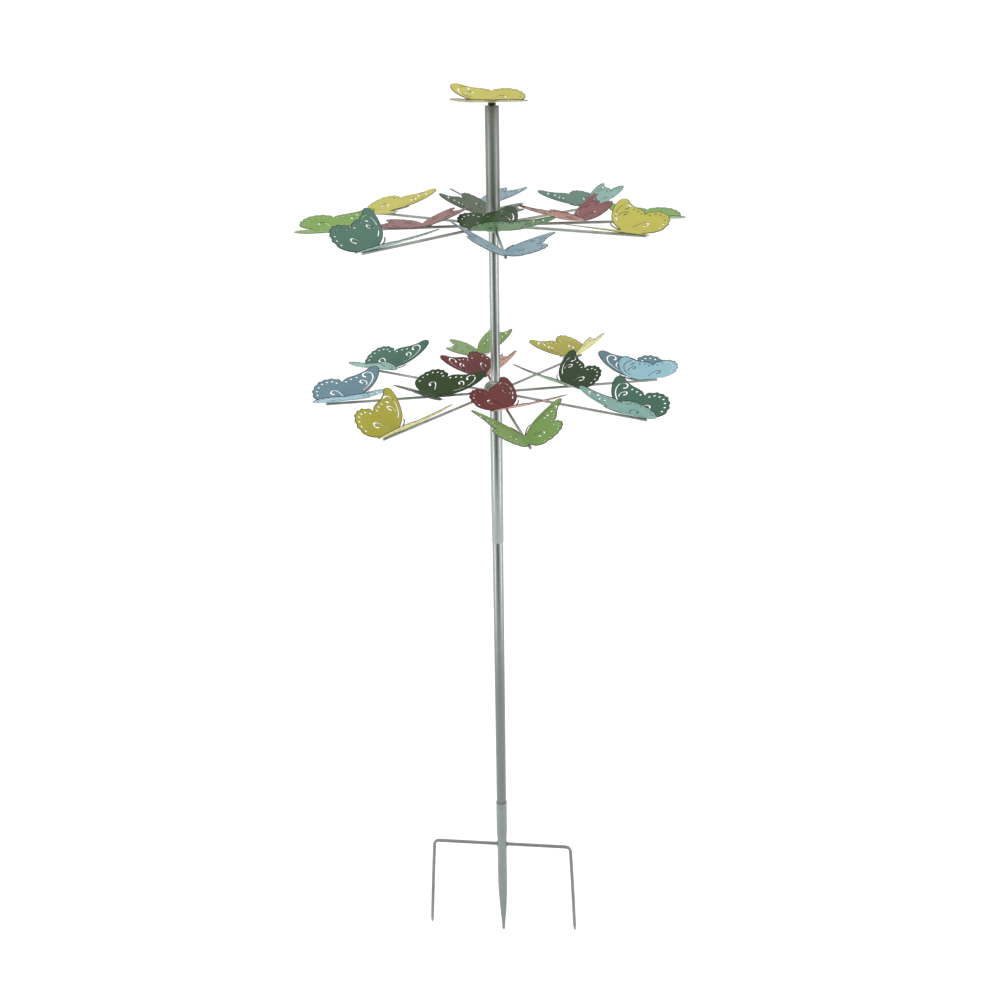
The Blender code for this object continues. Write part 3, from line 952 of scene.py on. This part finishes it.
def within(outline, inset):
    """The outline moved inwards, without the points that come too near to another part of it."""
    moved = []
    for i, point in enumerate(outline):
        ahead = (outline[(i + 1) % len(outline)] - outline[i - 1]).normalized()
        place = point + Vector((-ahead.y, ahead.x, 0.0)) * inset
        if min((place - other).length for other in outline) > 0.96 * inset:
            moved.append(place)
    return moved


def cut_blank():
    """The flat blank as one sheet of faces, with every cut in it. Its rim layer is 1 at its edge."""
    work = bmesh.new()
    work.from_mesh(smooth_loop(blank_outline(), 4))
    rim_layer = work.verts.layers.float.new("rim")
    bmesh.ops.remove_doubles(work, verts=work.verts, dist=0.00002)
    work.verts.index_update()
    outline = [vertex.co.copy() for vertex in work.verts]
    for vertex in work.verts:
        vertex[rim_layer] = 1.0
    rim = work.edges[:]
    bounds = add_ring(work, within(outline, RIM_BAND))
    bmesh.ops.triangle_fill(work, use_beauty=True, edges=rim + bounds)
    for mirror in (1, -1):
        for x, y in FORE_DOTS + HIND_DOTS:
            place = Matrix.Translation((x / 1000, mirror * y / 1000, 0))
            made = bmesh.ops.create_circle(work, segments=12, radius=DOT_R / 1000, matrix=place)
            bounds += {edge for vertex in made["verts"] for edge in vertex.link_edges}
        for line in SCROLLS:
            cut = [(x / 1000, mirror * y / 1000, 0) for x, y in scroll_outline(line)]
            bounds += add_ring(work, cut)
    bmesh.ops.triangle_fill(work, use_beauty=True, edges=bounds)
    return work


def add_feelers(work):
    """Two thin strips that run on from the head, wider at the root."""
    layer = work.verts.layers.float["rim"]
    for mirror in (1, -1):
        before = None
        points = [Vector((x / 1000, mirror * y / 1000, 0)) for x, y in FEELER]
        for i, point in enumerate(points):
            ahead = (points[min(i + 1, len(points) - 1)] - points[max(i - 1, 0)]).normalized()
            side = Vector((-ahead.y, ahead.x, 0)) * (FEELER_HALF if i else FEELER_ROOT_HALF)
            pair = [work.verts.new(point + side), work.verts.new(point - side)]
            for vertex in pair:
                vertex[layer] = 0.85
            if before:
                bmesh.ops.contextual_create(work, geom=before + pair)
            before = pair


def split_for_bends(work):
    """Cuts the sheet along lines beside the fold, so that it can bend smoothly across them."""
    lines = [0.0, 0.0012, 0.0026, 0.0045] + [0.010 * i for i in range(1, 9)]
    for offset in sorted({sign * line for line in lines for sign in (1, -1)}):
        bmesh.ops.bisect_plane(
            work,
            geom=work.verts[:] + work.edges[:] + work.faces[:],
            dist=0.00001,
            plane_co=(0, offset, 0),
            plane_no=(0, 1, 0),
        )


def make_blank():
    work = cut_blank()
    add_feelers(work)
    split_for_bends(work)
    bmesh.ops.recalc_face_normals(work, faces=work.faces)
    if work.faces[:][0].normal.z < 0:
        bmesh.ops.reverse_faces(work, faces=work.faces)
    mesh = bpy.data.meshes.new("blank")
    work.to_mesh(mesh)
    work.free()
    return mesh


BLANK = make_blank()
FOLD_WIDTH = 0.0035
CURL = 0.5


def bent(sideways, fold):
    """Where a point of the flat wing comes to: the wing leaves the fold in a small round bend."""
    steps = 12
    out, up = 0.0, 0.0
    length = abs(sideways)
    for i in range(steps):
        here = length * (i + 0.5) / steps
        lift = fold * min(1.0, here / FOLD_WIDTH) + CURL * here
        out += length / steps * cos(lift)
        up += length / steps * sin(lift)
    return (out if sideways > 0 else -out), up


def make_butterfly(name, tier, place, folds, paint, node):
    """Bends the blank, lays it in place and gives it its thickness."""
    left_fold, right_fold = folds
    work = bmesh.new()
    work.from_mesh(BLANK)
    for vertex in work.verts:
        fold = radians(left_fold if vertex.co.y > 0 else right_fold)
        vertex.co.y, vertex.co.z = bent(vertex.co.y, fold)
    bmesh.ops.transform(work, verts=work.verts, matrix=place)
    mesh = bpy.data.meshes.new(name)
    work.to_mesh(mesh)
    work.free()
    mesh.shade_smooth()
    sheet = bpy.data.objects.new(name, mesh)
    bpy.context.scene.collection.objects.link(sheet)
    for finish in PAINTS[paint]:
        mesh.materials.append(finish)
    wall = sheet.modifiers.new("sheet", "SOLIDIFY")
    wall.thickness = SHEET
    wall.offset = 0.0
    wall.use_even_offset = True
    # The underside takes the paler copy of the paint, which is painted light.
    wall.material_offset = 1
    wall.material_offset_rim = 2
    bpy.context.view_layer.update()
    thick = sheet.evaluated_get(bpy.context.evaluated_depsgraph_get())
    solid = bpy.data.meshes.new_from_object(thick)
    solid.set_sharp_from_angle(angle=radians(38))
    sheet.modifiers.clear()
    sheet.data = solid
    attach(sheet, f"{tier}_wheel")
    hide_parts(node)


# Each paint's colour on the upper face, and a paler copy for the underside that is painted light: the
# bounce from the white floor and the sheen at grazing angles.
PAINT_COLOURS = {
    "blue": ((98, 126, 138), (128, 168, 180)),
    "yellow": ((162, 156, 62), (186, 182, 98)),
    "bright_green": ((98, 134, 54), (130, 156, 88)),
    "teal": ((66, 102, 88), (106, 150, 140)),
    "dark_green": ((42, 64, 32), (78, 122, 74)),
    "dark_red": ((100, 34, 32), (160, 96, 70)),
}


def make_paint(name, colour):
    """Satin powder coat: faint orange peel, slow drift of tone, dark where it thins at the rim."""
    material, nodes, links, shader = new_finish(name, colour, 0.36)
    shader.inputs["Specular IOR Level"].default_value = 0.15
    tree = material.node_tree
    mottle = add_mottle(nodes, 28.0, 0.10, 1300.0, 0.06)
    rim = nodes.new("ShaderNodeAttribute")
    rim.attribute_name = "rim"
    thin = nodes.new("ShaderNodeMapRange")
    thin.interpolation_type = "SMOOTHSTEP"
    thin.inputs["From Min"].default_value = 0.0
    thin.inputs["From Max"].default_value = 0.4
    links.new(rim.outputs["Fac"], thin.inputs["Value"])
    dark = tuple(0.42 * value + 12 for value in colour)
    shade = blend_colours(tree, thin.outputs[0], colour, dark)
    links.new(tinted(tree, shade, mottle.outputs["Tone"]), shader.inputs["Base Color"])
    rough = maths(tree, "MULTIPLY", mottle.outputs["Grain"], 0.24)
    links.new(maths(tree, "ADD", rough, 0.26), shader.inputs["Roughness"])
    bump_from(tree, mottle.outputs["Grain"], shader, 0.10, 0.0003)
    return material


PAINTS = {}
for colour_name, (upper, underside_painted_light) in PAINT_COLOURS.items():
    PAINTS[colour_name] = (
        make_paint(f"{colour_name}_upper", upper),
        # Painted light: the underside gets a paler copy of the paint, standing in for floor bounce and
        # sheen.
        make_paint(f"{colour_name}_under", underside_painted_light),
        make_paint(f"{colour_name}_cut_edge", tuple(0.6 * value + 10 for value in upper)),
    )

OUTER_PAINTS = {
    "lower": ("blue", "yellow", "bright_green", "teal"),
    "upper": ("bright_green", "teal", "blue", "yellow"),
}
INNER_PAINTS = {
    "lower": ("dark_green", "dark_red"),
    "upper": ("dark_red", "dark_green"),
}
# How far the fold runs behind and ahead of its middle, which a tipped butterfly is raised for.
FOLD_BEHIND = 0.034
FOLD_AHEAD = 0.016
# How each butterfly was bent: its distance out in millimetres, then its turn, the tip of its head
# and the bends of its left and right wings, in degrees.
OUTER_SEATS = {
    "lower": (
        (296, 3, 0, 47, 28),
        (304, 4, -2, 44, 25),
        (284, 4, -2, 47, 21),
        (282, 5, 3, 32, 25),
        (286, 0, 2, 25, 24),
        (295, 1, -2, 36, 31),
        (285, 0, -1, 22, 30),
        (290, 0, 1, 41, 27),
    ),
    "upper": (
        (286, -6, 0, 11, 10),
        (303, 0, -1, 35, 19),
        (288, 8, -1, 24, 26),
        (278, 7, 4, 20, 0),
        (290, -4, 0, 14, 1),
        (298, 3, 0, 34, 17),
        (296, 1, -1, 25, 11),
        (284, -3, 3, 8, 24),
    ),
}
INNER_SEATS = {
    "lower": (
        (138, 7, -1, 28, 29),
        (110, 37, -1, 46, 32),
        (124, 20, -4, 27, 20),
        (120, 14, -6, 23, 22),
    ),
    "upper": (
        (150, -1, -6, 20, 28),
        (130, 51, -3, 12, 30),
        (128, -21, 0, 23, 6),
        (90, 2, -4, 20, 21),
    ),
}


def on_spoke(tier, k, heading, distance, turn, tip):
    """The matrix that lays a blank on its spoke, heading a way and tipped up at its head."""
    way = heading + radians(turn)
    dip = max(FOLD_BEHIND * sin(radians(tip)), FOLD_AHEAD * sin(radians(-tip))) * abs(cos(way))
    out = spoke_place(tier, k) @ Matrix.Translation((distance / 1000, 0, SEAT_HEIGHT + dip))
    return out @ Matrix.Rotation(way, 4, "Z") @ Matrix.Rotation(-radians(tip), 4, "Y")


for tier in WHEELS:
    for k in range(SPOKES):
        *lie, left_fold, right_fold = OUTER_SEATS[tier][k]
        place = on_spoke(tier, k, OUTER_HEADING, *lie)
        paint = OUTER_PAINTS[tier][k % 4]
        name = f"{tier}_rim_butterfly_{k + 1}"
        node = f"{tier}_outer_butterfly_{k + 1}"
        make_butterfly(name, tier, place, (left_fold, right_fold), paint, node)
    for k, seat in enumerate(INNER_SEATS[tier]):
        *lie, left_fold, right_fold = seat
        place = on_spoke(tier, 2 * k, INNER_HEADING, *lie)
        paint = INNER_PAINTS[tier][k % 2]
        name = f"{tier}_mid_butterfly_{k + 1}"
        node = f"{tier}_inner_butterfly_{k + 1}"
        make_butterfly(name, tier, place, (left_fold, right_fold), paint, node)


# ------------------------------------------------------------------ sleeve and finial
# The upper hub is fixed on a sleeve of the same tube as the pole, which reaches up over the
# spindle and is closed by a plug. A blackened nut on the plug holds the topmost butterfly.

SLEEVE_WALL = 0.0010
PLUG_CUP_R = 0.0046
BLACK = (62, 64, 60)
FINIAL_TURN = radians(7)
FINIAL_FOLDS = (4, 18)


def make_sleeve_plug():
    low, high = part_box("sleeve_plug")
    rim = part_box("upper_sleeve")[1].x
    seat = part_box("upper_sleeve")[1].z + GAP
    inner = rim - SLEEVE_WALL - GAP
    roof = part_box("bearing_ball")[1].z + GAP
    profile = [
        (0.0, high.z),
        (rim - 0.0007, high.z),
        (rim, high.z - 0.0005),
        (rim, seat),
        (inner, seat),
        (inner, low.z),
        (PLUG_CUP_R, low.z),
        (PLUG_CUP_R, roof),
        (0.0, roof),
    ]
    work = lathe(profile)
    ease_edges(work, 0.0002)
    settle("sleeve_cap", work, [SLEEVE_GREY], "upper_wheel", "pole_silver", "sleeve_plug")


def make_nut():
    low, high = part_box("finial_nut")
    across = (high.x - low.x) / 2 / cos(pi / 6)
    work = bmesh.new()
    bmesh.ops.create_cone(
        work,
        cap_ends=True,
        segments=6,
        radius1=across,
        radius2=across,
        depth=high.z - low.z,
        matrix=Matrix.Translation((0, 0, (low.z + high.z) / 2)) @ Matrix.Rotation(pi / 6, 4, "Z"),
    )
    ease_edges(work, 0.0007, segments=3)
    settle("black_nut", work, [BLACK_STEEL], "upper_wheel", "dark_steel", "finial_nut")


def make_black_steel():
    """Blackened steel, lighter and darker in patches and specks."""
    material, nodes, links, shader = new_finish("black_steel", BLACK, 0.42, 0.8)
    tree = material.node_tree
    mottle = add_mottle(nodes, 160.0, 0.3, 2200.0, 0.15)
    links.new(tinted(tree, BLACK, mottle.outputs["Tone"]), shader.inputs["Base Color"])
    bump_from(tree, mottle.outputs["Grain"], shader, 0.15, 0.0003)
    return material


def make_sleeve_grey():
    """The pole's steel with a duller, darker skin, drawn along the tube."""
    material, nodes, links, shader = new_finish("sleeve_grey", (122, 128, 122), 0.38, 0.8)
    tree = material.node_tree
    stretch = nodes.new("ShaderNodeMapping")
    stretch.inputs["Scale"].default_value = (420.0, 420.0, 6.0)
    links.new(nodes.new("ShaderNodeTexCoord").outputs["Object"], stretch.inputs["Vector"])
    lines = nodes.new("ShaderNodeTexNoise")
    lines.inputs["Scale"].default_value = 1.0
    links.new(stretch.outputs["Vector"], lines.inputs["Vector"])
    mottle = add_mottle(nodes, 35.0, 0.12, 1700.0, 0.08)
    colour = blend_colours(tree, lines.outputs[0], (112, 118, 112), (130, 136, 130))
    links.new(tinted(tree, colour, mottle.outputs["Tone"]), shader.inputs["Base Color"])
    bump_from(tree, lines.outputs[0], shader, 0.06, 0.0002)
    return material


def make_finial():
    nut_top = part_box("finial_nut")[1].z
    seat = Matrix.Translation((0, 0, nut_top + GAP + SHEET * 0.6))
    place = seat @ Matrix.Rotation(pi + FINIAL_TURN, 4, "Z")
    make_butterfly("top_butterfly", "upper", place, FINIAL_FOLDS, "yellow", "finial_butterfly")


BLACK_STEEL = make_black_steel()
SLEEVE_GREY = make_sleeve_grey()
make_tube("sleeve", "upper_sleeve", SLEEVE_WALL, SLEEVE_GREY, "upper_wheel")
make_sleeve_plug()
make_nut()
make_finial()
